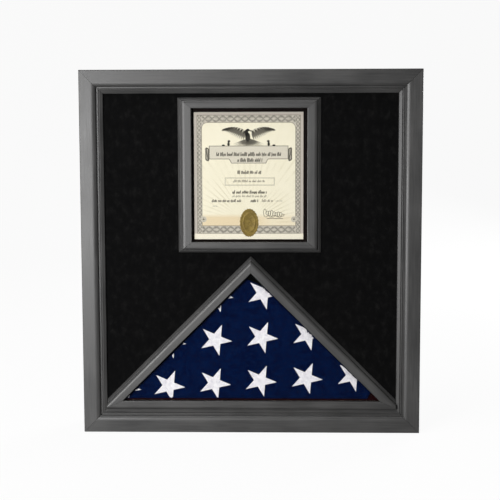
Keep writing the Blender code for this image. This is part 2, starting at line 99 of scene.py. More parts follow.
def settle(obj):
    """Moves the piece's place, turn and scale into its mesh."""
    select_only(obj)
    bpy.ops.object.transform_apply(location=True, rotation=True, scale=True)
    return obj


def apply_modifiers(obj):
    select_only(obj)
    for modifier in list(obj.modifiers):
        bpy.ops.object.modifier_apply(modifier=modifier.name)


def copy_of(obj):
    twin = obj.copy()
    twin.data = obj.data.copy()
    bpy.context.collection.objects.link(twin)
    return twin


def join(pieces):
    if len(pieces) > 1:
        select_only(*pieces)
        bpy.ops.object.join()
    return pieces[0]


def remove(obj):
    bpy.data.objects.remove(obj, do_unlink=True)


def plate(x0, x1, z0, z1, y):
    """A flat rectangle that faces the front."""
    bpy.ops.mesh.primitive_plane_add(
        size=1, location=((x0 + x1) / 2, y, (z0 + z1) / 2), rotation=FRONTWARDS
    )
    obj = bpy.context.object
    obj.scale = (x1 - x0, z1 - z0, 1)
    return settle(obj)


def disc(centre, half_width, half_height, steps):
    """A flat oval that faces the front."""
    bpy.ops.mesh.primitive_circle_add(
        vertices=steps, radius=1, fill_type="NGON", location=centre, rotation=FRONTWARDS
    )
    obj = bpy.context.object
    obj.scale = (half_width, half_height, 1)
    return settle(obj)


def clip(obj, point, normal, keep_both=False):
    """Cuts a piece along a plane and drops what lies beyond it, unless both are kept."""
    edit(obj)
    bpy.ops.mesh.bisect(plane_co=point, plane_no=normal, clear_outer=not keep_both)
    close_edit()


def thicken(obj, thickness):
    """Gives a flat piece its thickness, away from the front."""
    solid = obj.modifiers.new("thickness", "SOLIDIFY")
    solid.thickness = thickness
    solid.offset = -1
    solid.use_even_offset = True
    apply_modifiers(obj)


def round_edges(obj, width, segments):
    bevel = obj.modifiers.new("edge", "BEVEL")
    bevel.width = width
    bevel.segments = segments
    bevel.limit_method = "ANGLE"
    bevel.angle_limit = math.radians(30)
    apply_modifiers(obj)


def smooth(obj, degrees):
    """Shades a piece smooth, except where it turns by more than the angle."""
    select_only(obj)
    bpy.ops.object.shade_smooth_by_angle(angle=math.radians(degrees))


def face_outwards(obj):
    """Closes a piece's seams and turns its faces outwards."""
    edit(obj)
    bpy.ops.mesh.remove_doubles(threshold=0.002 * MM)
    bpy.ops.mesh.normals_make_consistent(inside=False)
    close_edit()


def grow(move, share, middle):
    """Extrudes what is selected by a vector and scales it about a middle."""
    bpy.ops.mesh.extrude_region_move(TRANSFORM_OT_translate={"value": move})
    bpy.ops.transform.resize(value=share, center_override=middle)


def finish_piece(obj, name, body, slot, *materials, replaced=()):
    """Names a piece, gives it its materials and sets it on its body."""
    obj.name = name
    obj.data.name = name
    obj.data.materials.clear()
    for material in materials:
        obj.data.materials.append(material)
    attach(obj, body)
    if replaced:
        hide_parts(*replaced)
    return obj


# --- material helpers ---
class Finish:
    """One material's node tree, with short ways to add nodes and join them."""

    def __init__(self, name, **values):
        self.material = bpy.data.materials.new(name)
        self.material.use_nodes = True
        self.tree = self.material.node_tree
        self.shader = self.tree.nodes["Principled BSDF"]
        for key, value in values.items():
            self.shader.inputs[key.replace("_", " ")].default_value = value

    def join(self, value, socket):
        """Links a socket's value, or sets a constant on the socket."""
        if isinstance(value, bpy.types.NodeSocket):
            self.tree.links.new(value, socket)
        else:
            socket.default_value = value

    def add(self, kind, inputs, output=0, **settings):
        node = self.tree.nodes.new(kind)
        for key, value in settings.items():
            setattr(node, key, value)
        for key, value in inputs.items():
            self.join(value, node.inputs[key])
        return node.outputs[output]

    def to_shader(self, key, value):
        self.join(value, self.shader.inputs[key])

    def place(self, size, turn=(0, 0, 0), centre=(0, 0, 0)):
        """Object coordinates in units of `size`, from a centre, turned."""
        if isinstance(size, float):
            size = (size,) * 3
        at = self.add("ShaderNodeTexCoord", {}, "Object")
        inputs = {"Vector": at, "Location": centre, "Rotation": turn, "Scale": size}
        return self.add("ShaderNodeMapping", inputs, vector_type="TEXTURE")

    def noise(self, vector, detail, roughness=0.5, distortion=0.0):
        inputs = {"Vector": vector, "Scale": 1.0, "Detail": detail}
        inputs.update({"Roughness": roughness, "Distortion": distortion})
        return self.add("ShaderNodeTexNoise", inputs, "Fac")

    def cells(self, vector):
        return self.add("ShaderNodeTexVoronoi", {"Vector": vector}, "Distance")

    def wave(self, vector, distortion, direction):
        """Even threads across X or Z."""
        inputs = {"Vector": vector, "Scale": 1.0, "Distortion": distortion, "Detail": 2.0}
        return self.add("ShaderNodeTexWave", inputs, "Fac", bands_direction=direction)

    def paint(self, value, *stops):
        """Gives the shader its colour, from colours at places from 0 to 1."""
        node = self.tree.nodes.new("ShaderNodeValToRGB")
        ramp = node.color_ramp
        while len(ramp.elements) < len(stops):
            ramp.elements.new(1.0)
        for element, (place, colour) in zip(ramp.elements, stops):
            element.position = place
            element.color = (*colour, 1)
        self.join(value, node.inputs["Fac"])
        self.to_shader("Base Color", node.outputs["Color"])

    def roughen(self, value, *ends):
        """Gives the shader a roughness that follows a value."""
        self.to_shader("Roughness", self.spread(value, *ends))

    def spread(self, value, low, high, to_low=0.0, to_high=1.0):
        """Maps a range of values to another, and holds its ends."""
        inputs = {0: value, 1: low, 2: high, 3: to_low, 4: to_high}
        return self.add("ShaderNodeMapRange", inputs)

    def maths(self, operation, a, b=0.0):
        return self.add("ShaderNodeMath", {0: a, 1: b}, operation=operation)

    def times(self, a, b):
        return self.maths("MULTIPLY", a, b)

    def mix(self, factor, a, b):
        """Goes from a to b, which are colours or values."""
        node = self.tree.nodes.new("ShaderNodeMix")
        node.data_type = "RGBA"
        sockets = {socket.identifier: socket for socket in node.inputs}
        self.join(factor, sockets["Factor_Float"])
        for key, value in (("A_Color", a), ("B_Color", b)):
            self.join((*value, 1) if isinstance(value, tuple) else value, sockets[key])
        return node.outputs[2]

    def parts(self, vector):
        """The X and Z of a place."""
        node = self.tree.nodes.new("ShaderNodeSeparateXYZ")
        self.join(vector, node.inputs[0])
        return node.outputs[0], node.outputs[2]

    def bump(self, height, strength, distance, after=None):
        inputs = {"Height": height, "Strength": strength, "Distance": distance}
        if after is not None:
            inputs["Normal"] = after
        normal = self.add("ShaderNodeBump", inputs)
        self.to_shader("Normal", normal)
        return normal


# --- materials ---
def black_wood(name, turn, shine=0.5):
    """Satin black lacquer over wood whose grain runs at the given turn about Y."""
    finish = Finish(name, Specular_IOR_Level=shine)
    along = finish.place((60 * MM, 1.6 * MM, 1.6 * MM), (0, turn, 0))
    pores = finish.place((9 * MM, 0.35 * MM, 0.35 * MM), (0, turn, 0))
    cloud = finish.place((70 * MM, 30 * MM, 30 * MM), (0, turn, 0))
    streaks = finish.noise(along, 3.0, 0.55)
    fine = finish.noise(pores, 2.0, 0.6)
    wide = finish.noise(cloud, 2.0)
    tone = finish.mix(0.5, streaks, wide)
    finish.paint(tone, (0.34, (0.026, 0.026, 0.026)), (0.66, (0.054, 0.053, 0.052)))
    finish.roughen(tone, 0.35, 0.65, 0.37, 0.48)
    grain = finish.bump(finish.spread(fine, 0.35, 0.65), 0.25, 0.05 * MM)
    finish.bump(streaks, 0.32, 0.14 * MM, grain)
    return finish.material


def velvet():
    """Black pile that lies in slightly different directions from place to place."""
    finish = Finish("black_velvet", Roughness=1.0, Specular_IOR_Level=0.02, Sheen_Weight=0.03)
    finish.shader.inputs["Sheen Roughness"].default_value = 0.55
    finish.shader.inputs["Sheen Tint"].default_value = (0.25, 0.25, 0.26, 1)
    pile = finish.noise(finish.place(0.7 * MM), 3.0, 0.7)
    nap = finish.noise(finish.place((11 * MM, 11 * MM, 16 * MM)), 4.0, 0.65)
    finish.paint(
        finish.mix(0.35, nap, pile),
        (0.38, (0.0026, 0.0026, 0.0027)),
        (0.52, (0.0034, 0.0034, 0.0035)),
        (0.66, (0.0076, 0.0075, 0.0074)),
    )
    finish.bump(pile, 0.6, 0.3 * MM)
    return finish.material


def paper():
    """Cream certificate paper: faint rays above the seal, a warm foot, a tinted margin."""
    finish = Finish("certificate_paper", Roughness=0.82, Specular_IOR_Level=0.25)
    x, z = finish.parts(finish.place(MM, centre=(PRINT_X, 0, PRINT_Z)))
    angle = finish.maths("ARCTAN2", x, finish.maths("SUBTRACT", z, RAY_CENTRE))
    rays = finish.maths("SINE", finish.times(angle, RAY_COUNT))
    rays = finish.spread(rays, 0.35, 1.0)
    patches = finish.noise(finish.place(24 * MM), 3.0)
    rays = finish.times(rays, finish.spread(patches, 0.35, 0.65))
    rays = finish.times(rays, finish.spread(z, *RAY_FADE, 0.9, 0.15))
    fibre = finish.noise(finish.place(0.5 * MM), 4.0, 0.6)
    stain = finish.noise(finish.place(30 * MM), 3.0)
    cream = finish.mix(stain, CREAM_LOW, CREAM_HIGH)
    cream = finish.mix(rays, cream, RAY_TINT)
    foot = finish.spread(z, *FOOT_EDGE, 1.0, 0.0)
    side = finish.spread(x, *FOOT_FADE, 0.85, 0.40)
    warm = finish.mix(finish.times(foot, side), cream, FOOT_TINT)
    strip = finish.spread(z, *STRIP_EDGE, 1.0, 0.0)
    plain = finish.mix(strip, warm, STRIP_TINT)
    outside = finish.spread(finish.maths("ABSOLUTE", x), *MARGIN_SIDE)
    outside = finish.maths("MAXIMUM", outside, finish.spread(z, *MARGIN_HEAD))
    outside = finish.times(outside, finish.maths("SUBTRACT", 1.0, strip))
    tinted = finish.mix(outside, plain, MARGIN_TINT)
    specks = finish.spread(fibre, 0.3, 0.7, 0.0, 0.06)
    finish.to_shader("Base Color", finish.mix(specks, tinted, (0.6, 0.55, 0.42)))
    finish.bump(fibre, 0.15, 0.05 * MM)
    return finish.material


def printed_lace():
    """The certificate's border: a chain of loops between two engraved lines."""
    finish = Finish("border_print", Roughness=0.80, Specular_IOR_Level=0.25)
    x, z = finish.parts(finish.place(MM, centre=(PRINT_X, 0, PRINT_Z)))
    wide = finish.maths("ABSOLUTE", x)
    side = finish.maths("GREATER_THAN", wide, FIELD_HALF / MM)
    level = finish.maths("SUBTRACT", 1.0, side)
    middle = (BORDER_HEAD + FIELD_HEAD + BORDER_FOOT + FIELD_FOOT) / 4 / MM
    reach = (BORDER_HEAD + FIELD_HEAD - BORDER_FOOT - FIELD_FOOT) / 4 / MM
    half = (BORDER_HEAD - FIELD_HEAD) / 2 / MM
    tall = finish.maths("ABSOLUTE", finish.maths("SUBTRACT", z, middle))
    off_level = finish.maths("DIVIDE", finish.maths("SUBTRACT", tall, reach), half)
    half = (BORDER_HALF - FIELD_HALF) / 2 / MM
    centre = (BORDER_HALF + FIELD_HALF) / 2 / MM
    off_side = finish.maths("DIVIDE", finish.maths("SUBTRACT", wide, centre), half)

    def either(on_level, on_side):
        """One value on the level parts of the border, another on its sides."""
        return finish.maths("ADD", finish.times(level, on_level), finish.times(side, on_side))

    across = either(off_level, off_side)
    level_turn, side_turn = LACE_TURNS
    along = either(finish.times(x, level_turn), finish.times(z, side_turn))
    swing = finish.times(finish.maths("SINE", along), LACE_SWING)
    near = finish.maths("ABSOLUTE", finish.maths("SUBTRACT", across, swing))
    far = finish.maths("ABSOLUTE", finish.maths("ADD", across, swing))
    loops = finish.spread(finish.maths("MINIMUM", near, far), 0.05, 0.42)
    swirl = finish.times(finish.cells(finish.place(3.4 * MM)), 0.35)
    blots = finish.noise(finish.place(4.5 * MM), 3.0, 0.6)
    lace = finish.maths("ADD", finish.times(loops, 0.5), swirl)
    lace = finish.maths("ADD", lace, finish.spread(blots, 0.3, 0.7, -0.1, 0.3))
    finish.paint(
        lace,
        (0.12, (0.18, 0.170, 0.142)),
        (0.50, (0.335, 0.312, 0.262)),
        (0.95, (0.58, 0.54, 0.45)),
    )
    return finish.material


def ink(name, full, thin):
    """Letterpress ink, a little uneven in its cover."""
    finish = Finish(name, Roughness=0.7, Specular_IOR_Level=0.15)
    cover = finish.noise(finish.place(0.9 * MM), 3.0, 0.6)
    finish.paint(cover, (0.40, full), (0.70, thin))
    return finish.material


def gold_foil():
    """Matt gold foil with a fine grit."""
    finish = Finish("embossed_gold_foil", Metallic=0.35, Specular_IOR_Level=0.35)
    grit = finish.noise(finish.place(0.45 * MM), 3.0, 0.7)
    cloud = finish.noise(finish.place(7 * MM), 3.0)
    finish.paint(
        finish.mix(0.5, grit, cloud), (0.35, (0.104, 0.067, 0.008)), (0.65, (0.218, 0.150, 0.025))
    )
    finish.roughen(grit, 0.3, 0.7, 0.38, 0.52)
    finish.bump(grit, 0.3, 0.06 * MM)
    return finish.material


def woven_cotton(name, dark, light):
    """Plain-woven cotton with slubs and a soft mottle."""
    finish = Finish(name, Roughness=0.92, Specular_IOR_Level=0.01)
    turned = (0, math.radians(3), 0)
    warp = finish.wave(finish.place(0.62 * MM, turned), 0.8, "X")
    weft = finish.wave(finish.place(0.62 * MM, turned), 0.8, "Z")
    weave = finish.maths("MAXIMUM", warp, weft)
    slub = finish.noise(finish.place((14 * MM, 3 * MM, 0.9 * MM), turned), 3.0)
    mottle = finish.noise(finish.place(7 * MM), 4.0, 0.75)
    tone = finish.mix(0.22, mottle, weave)
    tone = finish.mix(0.25, tone, slub)
    finish.paint(tone, (0.40, dark), (0.64, light))
    finish.bump(weave, 0.35, 0.12 * MM)
    return finish.material


def star_stitch():
    """White satin stitch with fine threads."""
    finish = Finish("star_embroidery", Roughness=0.7, Specular_IOR_Level=0.25, Sheen_Weight=0.1)
    turned = (0, -STAR_TURN, 0)
    threads = finish.wave(finish.place(0.75 * MM, turned), 1.2, "Z")
    mottle = finish.noise(finish.place(8 * MM), 4.0, 0.75)
    finish.paint(
        finish.mix(0.75, threads, mottle),
        (0.36, (0.60, 0.585, 0.64)),
        (0.48, (0.80, 0.78, 0.80)),
        (0.60, (0.93, 0.915, 0.93)),
    )
    finish.bump(threads, 0.35, 0.15 * MM)
    return finish.material


def hardboard(name, dark, light, shine=0.3):
    """Pressed fibre: short dark and light flecks."""
    finish = Finish(name, Specular_IOR_Level=shine)
    fleck = finish.noise(finish.place((1.6 * MM, 1.6 * MM, 0.7 * MM)), 4.0, 0.75)
    cloud = finish.noise(finish.place(60 * MM), 3.0)
    tone = finish.mix(0.12, fleck, cloud)
    finish.paint(tone, (0.35, dark), (0.65, light))
    finish.roughen(fleck, 0.3, 0.7, 0.62, 0.82)
    finish.bump(fleck, 0.3, 0.12 * MM)
    return finish.material


def plywood():
    """Plywood stained black, with long grain."""
    finish = Finish("black_plywood", Specular_IOR_Level=0.3)
    grain = finish.noise(finish.place((3 * MM, 90 * MM, 2.2 * MM)), 4.0, 0.6, distortion=0.4)
    fine = finish.noise(finish.place((0.5 * MM, 14 * MM, 0.5 * MM)), 2.0)
    finish.paint(
        finish.mix(0.35, grain, fine),
        (0.30, (0.010, 0.009, 0.008)),
        (0.55, (0.020, 0.018, 0.016)),
        (0.75, (0.034, 0.030, 0.026)),
    )
    finish.roughen(grain, 0.3, 0.7, 0.55, 0.72)
    finish.bump(fine, 0.2, 0.08 * MM)
    return finish.material


def clear_pane():
    """Thin picture glass, almost all of it see-through."""
    finish = Finish("picture_glass", Alpha=0.04, Roughness=0.04, IOR=1.5)
    haze = finish.noise(finish.place(80 * MM), 2.0)
    finish.paint(haze, (0.3, (0.014, 0.018, 0.018)), (0.7, (0.020, 0.024, 0.024)))
    return finish.material


def felt():
    """Charcoal felt with a short fluff."""
    finish = Finish("charcoal_felt", Roughness=1.0, Specular_IOR_Level=0.1, Sheen_Weight=0.3)
    fluff = finish.noise(finish.place(0.8 * MM), 5.0, 0.8)
    cloud = finish.noise(finish.place(12 * MM), 3.0)
    tone = finish.mix(0.4, fluff, cloud)
    finish.paint(tone, (0.35, (0.012, 0.012, 0.013)), (0.65, (0.032, 0.031, 0.030)))
    finish.bump(fluff, 0.6, 0.3 * MM)
    return finish.material


def plated_steel():
    """Brushed steel with a dull nickel plating."""
    finish = Finish("nickel_plated_steel", Metallic=1.0)
    brush = finish.noise(finish.place((0.25 * MM, 0.25 * MM, 6 * MM)), 3.0, 0.6)
    cloud = finish.noise(finish.place(5 * MM), 3.0)
    finish.paint(cloud, (0.3, (0.50, 0.49, 0.46)), (0.7, (0.66, 0.65, 0.62)))
    finish.roughen(brush, 0.3, 0.7, 0.24, 0.40)
    finish.bump(brush, 0.15, 0.03 * MM)
    return finish.material


def rubber():
    finish = Finish("black_rubber", Specular_IOR_Level=0.35)
    grain = finish.noise(finish.place(0.4 * MM), 3.0, 0.7)
    finish.paint(grain, (0.3, (0.018, 0.018, 0.018)), (0.7, (0.034, 0.034, 0.033)))
    finish.roughen(grain, 0.3, 0.7, 0.72, 0.88)
    finish.bump(grain, 0.3, 0.05 * MM)
    return finish.material


# --- carried-over nodes ---
def paint_nodes():
    """Gives every CAD node that stays its finish."""
    level = black_wood("black_wood_level", 0, 0.42)
    upright = black_wood("black_wood_upright", math.pi / 2)
    back = hardboard("black_hardboard", (0.016, 0.0145, 0.013), (0.070, 0.061, 0.053))
    backing = hardboard("grey_backing_board", (0.20, 0.17, 0.13), (0.34, 0.30, 0.24))
    mat = hardboard("black_mat_card", (0.0035, 0.0022, 0.0020), (0.0080, 0.0046, 0.0042), 0.02)
    finishes = (
        (("frame_rail", "box_side_bottom", "box_side_top", "document_rail"), level),
        (("frame_stile", "box_side_left", "box_side_right", "document_stile"), upright),
        (("flag_rail_left",), black_wood("black_wood_rising", -math.pi / 4)),
        (("flag_rail_right",), black_wood("black_wood_falling", math.pi / 4)),
        (("flag_rail_base",), level),
        (("mat_board", "document_backing"), backing),
        (("document_mat",), mat),
        (("document_glass", "flag_glass"), clear_pane()),
        (("flag_shelf", "flag_wall"), plywood()),
        (("back_panel",), back),
        (("turn_button", "hanger", "document_tab"), plated_steel()),
        (("wall_bumper",), rubber()),
    )
    for name, node in NODES.items():
        for starts, material in finishes:
            if name.startswith(starts):
                node.data.materials.clear()
                node.data.materials.append(material)


# --- velvet lining ---
def build_velvet():
    """Velvet stretched over the board, cut out for the document and the flag."""
    low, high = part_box("velvet_cover")
    stack_low, stack_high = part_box("document_backing")
    gap = 0.6 * MM
    lining = plate(low.x, high.x, low.z, high.z, low.y)
    right, up = Vector((1, 0, 0)), Vector((0, 0, 1))
    window = (stack_low.x - gap, stack_high.x + gap, stack_low.z - gap, stack_high.z + gap)
    clip(lining, (window[0], 0, 0), right, True)
    clip(lining, (window[1], 0, 0), right, True)
    clip(lining, (0, 0, window[2]), up, True)
    clip(lining, (0, 0, window[3]), up, True)
    base = SIGHT_BASE - WELL_MARGIN
    clip(lining, (0, 0, base), up, True)
    clip(lining, (0, 0, WELL_APEX), (1, 0, 1), True)
    clip(lining, (0, 0, WELL_APEX), (-1, 0, 1), True)

    def in_window(face):
        at = centre_of(face)
        in_document = window[0] < at.x < window[1] and window[2] < at.z < window[3]
        in_flag = at.z > base and at.z + abs(at.x) < WELL_APEX
        return in_document or in_flag

    edit(lining)
    pick(lining, "faces", in_window)
    bpy.ops.mesh.delete(type="FACE")
    close_edit()
    thicken(lining, high.y - low.y)
    finish_piece(lining, "velvet_lining", "case", "velvet", velvet(), replaced=["velvet_cover"])


# --- certificate ---
PAPER_LOW, PAPER_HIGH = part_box("certificate")
PAPER_Y = PAPER_LOW.y
INK_THICKNESS = 0.04 * MM
# borders of the print, from its middle
PRINT_X = (PAPER_LOW.x + PAPER_HIGH.x) / 2
PRINT_Z = (PAPER_LOW.z + PAPER_HIGH.z) / 2 + 0.7 * MM
BORDER_HALF = 86.2 * MM
BORDER_FOOT = -97.1 * MM
BORDER_HEAD = 100.4 * MM
FIELD_HALF = 77.7 * MM
FIELD_FOOT = -83.5 * MM
FIELD_HEAD = 87.5 * MM
# tints of the paper, and where they start and end in millimetres from its middle
CREAM_LOW = (0.775, 0.728, 0.552)
CREAM_HIGH = (0.838, 0.790, 0.628)
RAY_TINT = (0.655, 0.600, 0.425)
RAY_CENTRE = -79.0
RAY_COUNT = 62.0  # in a full turn
RAY_FADE = (-40.0, 60.0)
FOOT_TINT = (0.70, 0.565, 0.352)
FOOT_EDGE = (-70.0, -64.0)
FOOT_FADE = (10.0, 40.0)
STRIP_TINT = (0.80, 0.752, 0.612)
STRIP_EDGE = (-97.4, -96.6)
MARGIN_TINT = (0.475, 0.428, 0.376)
MARGIN_SIDE = (85.6, 86.4)
MARGIN_HEAD = (99.9, 100.6)
# the border's loops: radians per millimetre along it, and reach across half its width
LACE_TURNS = (0.26, 0.46)
LACE_SWING = 0.62
LINE_WIDTH = 0.7 * MM  # of the border's two edges
CORNER_CUT = 9 * MM  # of the field's upper corners
SNAP = 0.01 * MM  # how near a point has to be to count as on a line
ROSETTE_PLACE = (75.5 * MM, -73 * MM)
ROSETTE_RADIUS = 5 * MM
ROSETTE_STEP = 0.625 * MM  # width of its dark and pale rings
# ovals of the bird's print, in mm: right, up, half width, half height and corners
FINIALS = (
    (33.4, 52.2, 2.1, 3.2, 20),
    (32.8, 56.8, 2.3, 1.9, 16),
    (42.0, 50.0, 2.6, 1.5, 16),
)
BIRD_BODY = (
    (-1.5, 64, 4.2, 7.6, 20),
    (-3.6, 71, 2.8, 5.2, 16),
    (-1.2, 75.2, 3.0, 2.3, 16),
)
# feathers of one wing, of the tail, and rays under them
WING_FEATHERS, TAIL_FEATHERS, RAYS = 17, 7, 23
WING_LOW, WING_SWEEP = -76, 64  # degrees at the shoulder, and from there to the tip
TAIL_STEP = 13
RAY_LOW, RAY_SWEEP = -158, 136
# the banner's edges, where its tab starts, and the steps of the tab down
BANNER = (-66 * MM, 66 * MM, 27 * MM, 49.5 * MM)
TAB_HALF = 33 * MM
TAB_STEPS = ((2.5 * MM, 0.94), (4.4 * MM, 0.93))
RIBBON_MIDDLE, RIBBON_HALF = 69.0 * MM, 3.2 * MM
RIBBON_FOOT, RIBBON_HEAD = 23 * MM, 45 * MM
BANNER_LINE, RIBBON_LINE = 1.0 * MM, 2.3 * MM
# rows of strokes, in mm: left, right, height of the row, pen height and width, pitch
BOLD_ROWS = (
    (-54, 55, 34.9, 5.0, 1.15, 1.4),
    (-19, 23, 25.2, 5.0, 1.15, 1.4),
    (-19, 22, 5.0, 4.4, 1.1, 1.45),
    (-27.5, 31, -27.9, 4.4, 1.1, 1.45),
    (-62, -10, -42.3, 3.9, 1.0, 1.5),
    (3, 17, -42.3, 4.0, 1.1, 1.45),
)
LIGHT_ROWS = (
    (-25.6, 28, -9.5, 3.2, 0.75, 1.9),
    (-27.5, 31, -34.6, 3.0, 0.65, 2.1),
    (22, 41, -42.3, 3.4, 0.85, 1.8),
    (45, 56, -42.5, 1.4, 0.4, 2.1),
    (-60, -51, -51, 1.2, 0.4, 2.1),
)
# the thin box: two outlines and the width of their lines
BOX_LINES = (
    (-39.6 * MM, 43.3 * MM, -16.6 * MM, -3.5 * MM, 0.4 * MM),
    (-38.4 * MM, 42.1 * MM, -15.4 * MM, -4.7 * MM, 0.25 * MM),
)
UNDERLINE = (30 * MM, 57 * MM, -72.2 * MM, -71.2 * MM)
PEN_POINTS = 120
PEN_LOOPS = 8.5
PEN_RADIUS = 0.40 * MM
SEAL_POINTS = 96
SCALLOP = 0.965
FOIL = 0.12 * MM
# from the seal's edge inwards: share of the size kept, and rise in mm
RIM_STEPS = ((0.93, 0.10), (0.96, 0.0), (0.96, -0.10))
INNER_STEPS = ((0.80, 0.0), (0.96, 0.10), (0.95, 0.0), (0.95, -0.10))
BEADS, BEAD_RADIUS, BEAD_FLATTEN = 36, 0.9 * MM, 0.22
BEAD_INSETS = (4.0 * MM, 4.2 * MM)  # from the seal's side and from its top
PETALS, PETAL_LENGTH, PETAL_WIDTH = 12, 8.0 * MM, 2.3 * MM
# how far the seal, its beads and its petals stand off the paper and the seal
SEAL_LIFT, BEAD_LIFT, PETAL_LIFT = 0.05 * MM, 0.16 * MM, 0.26 * MM


def on_paper(u, v, layer=1):
    """A point of the print, u to the right and v up from its middle."""
    return Vector((PRINT_X + u, PAPER_Y - layer * INK_THICKNESS, PRINT_Z + v))


def paper_plate(u0, u1, v0, v1, layer=1):
    low, high = on_paper(u0, v0, layer), on_paper(u1, v1, layer)
    return plate(low.x, high.x, low.z, high.z, low.y)


def print_piece(obj, name, *materials, layer=1):
    """A thin layer of ink from the paper up to its own layer."""
    slots = [polygon.material_index for polygon in obj.data.polygons]
    thicken(obj, (layer - 0.15) * INK_THICKNESS)
    piece = finish_piece(obj, name, "case", "paper", *materials)
    for polygon, slot in zip(piece.data.polygons, slots):
        polygon.material_index = slot
    return piece


def line_frame(u0, u1, v0, v1, width):
    """The outline of a rectangle."""
    obj = paper_plate(u0, u1, v0, v1)
    edit(obj)
    bpy.ops.mesh.inset(thickness=width, use_even_offset=True)
    bpy.ops.mesh.delete(type="FACE")
    close_edit()
    return obj


def build_paper():
    """The bare sheet."""
    sheet = plate(PAPER_LOW.x, PAPER_HIGH.x, PAPER_LOW.z, PAPER_HIGH.z, PAPER_Y)
    thicken(sheet, PAPER_HIGH.y - PAPER_LOW.y)
    finish_piece(sheet, "certificate_sheet", "case", "paper", paper(), replaced=["certificate"])


def build_border(dark):
    """A lace band with a dark line on both edges and rounded upper inner corners."""
    band = paper_plate(-BORDER_HALF, BORDER_HALF, BORDER_FOOT, BORDER_HEAD)
    side = BORDER_HALF - FIELD_HALF
    edit(band)
    bpy.ops.mesh.inset(thickness=side, use_even_offset=True)
    head, foot = PRINT_Z + BORDER_HEAD - side, PRINT_Z + BORDER_FOOT + side
    bpy.ops.mesh.select_mode(type="VERT")
    pick(band, "verts", lambda v: abs(v.co.z - head) < SNAP)
    bpy.ops.transform.translate(value=(0, 0, FIELD_HEAD - BORDER_HEAD + side))
    pick(band, "verts", lambda v: abs(v.co.z - foot) < SNAP)
    bpy.ops.transform.translate(value=(0, 0, FIELD_FOOT - BORDER_FOOT - side))
    pick(band, "verts", lambda v: abs(v.co.z - PRINT_Z - FIELD_HEAD) < SNAP)
    bpy.ops.mesh.bevel(offset=CORNER_CUT, segments=5, affect="VERTICES")
    bpy.ops.mesh.select_mode(type="FACE")
    field = 0.9 * (2 * FIELD_HALF) * (FIELD_HEAD - FIELD_FOOT)
    pick(band, "faces", lambda f: f.calc_area() > field)
    bpy.ops.mesh.delete(type="FACE")
    close_edit()
    lace = printed_lace()
    outlined(band, lace, dark, LINE_WIDTH)
    print_piece(band, "certificate_border", lace, dark)


def oval(u, v, half_width, half_height, steps):
    """An oval on the top layer of the print, all in millimetres."""
    return disc(on_paper(u * MM, v * MM, 3), half_width * MM, half_height * MM, steps)


def build_rosettes(dark, pale):
    """Two round ornaments at the lower corners of the field."""
    rounds = []
    for side in (-1, 1):
        middle = on_paper(side * ROSETTE_PLACE[0], ROSETTE_PLACE[1], 3)
        rosette = disc(middle, ROSETTE_RADIUS, ROSETTE_RADIUS, 24)
        edit(rosette)
        for _ in range(3):
            bpy.ops.mesh.inset(thickness=0.9 * MM)
            bpy.ops.mesh.inset(thickness=0.35 * MM)
        close_edit()
        rosette.data.materials.append(dark)
        rosette.data.materials.append(pale)
        for polygon in rosette.data.polygons:
            away = (polygon.center - middle).length
            polygon.material_index = int(away / ROSETTE_STEP) % 2
        rounds.append(rosette)
    print_piece(join(rounds), "certificate_rosettes", dark, pale, layer=3)


def feather(root, angle, length, width, layer=2):
    """One pointed feather from its root outwards, at an angle above the right."""
    blade = disc((0, 0, 0), 0.5, 0.5, 12)
    edit(blade, "VERT")
    pick(blade, "verts", lambda v: v.co.x > 0.49)
    bpy.ops.transform.translate(value=(0.28, 0, -0.04))
    pick(blade, "verts", lambda v: v.co.x < -0.2)
    bpy.ops.transform.resize(value=(1, 1, 0.55), center_override=(0, 0, 0))
    bpy.ops.mesh.select_all(action="SELECT")
    bpy.ops.transform.translate(value=(0.5, 0, 0))
    close_edit()
    blade.location = on_paper(*root, layer)
    blade.rotation_euler = (0, -math.radians(angle), 0)
    blade.scale = (length, 1, width)
    return settle(blade)


def wing_point(t):
    """The wing's upper edge, from the shoulder at 0 to the tip at 1."""
    return (5 + 34 * t) * MM, (73.0 + 8.2 * math.sin(math.pi * (0.12 + 0.72 * t))) * MM


def mirrored(blades):
    """Copies of the blades on the other side of the print's middle."""
    others = []
    for blade in blades:
        other = copy_of(blade)
        other.scale.x = -1
        other.location.x = 2 * PRINT_X
        settle(other)
        edit(other)
        bpy.ops.mesh.flip_normals()
        close_edit()
        others.append(other)
    return others


def build_bird(dark, middle):
    """A bird with raised wings over a fan of short rays, between two finials."""
    feathers, coverts = [], []
    for i in range(WING_FEATHERS):
        t = i / (WING_FEATHERS - 1)
        angle = WING_LOW + WING_SWEEP * t
        u, v = wing_point(t)
        length = (14.5 - 9.5 * t * t) * MM
        feathers.append(feather((u, v - 0.8 * MM), angle, length, 3.6 * MM))
        if i % 2 == 0:
            coverts.append(feather((u, v - 0.6 * MM), angle + 16, 0.45 * length, 1.9 * MM, 3))
    feathers += mirrored(feathers)
    coverts += [oval(*row) for row in FINIALS]
    coverts += mirrored(coverts)
    for i in range(TAIL_FEATHERS):
        angle = -90 + TAIL_STEP * (i - TAIL_FEATHERS // 2)
        feathers.append(feather((-1 * MM, 60 * MM), angle, 9.5 * MM, 3.0 * MM))
    body = [oval(*row) for row in BIRD_BODY]
    body.append(feather((0.6 * MM, 75.2 * MM), -24, 4.4 * MM, 1.9 * MM, 3))
    rays = []
    for i in range(RAYS):
        angle = RAY_LOW + RAY_SWEEP * i / (RAYS - 1)
        length = min(12.5 / abs(math.sin(math.radians(angle))), 22) * MM
        rays.append(feather((0, 62 * MM), angle, length, 1.5 * MM, 1))
    print_piece(join(rays), "certificate_rays", middle)
    print_piece(join(feathers), "certificate_bird_feathers", middle, layer=2)
    print_piece(join(body + coverts), "certificate_bird_body", dark, layer=3)


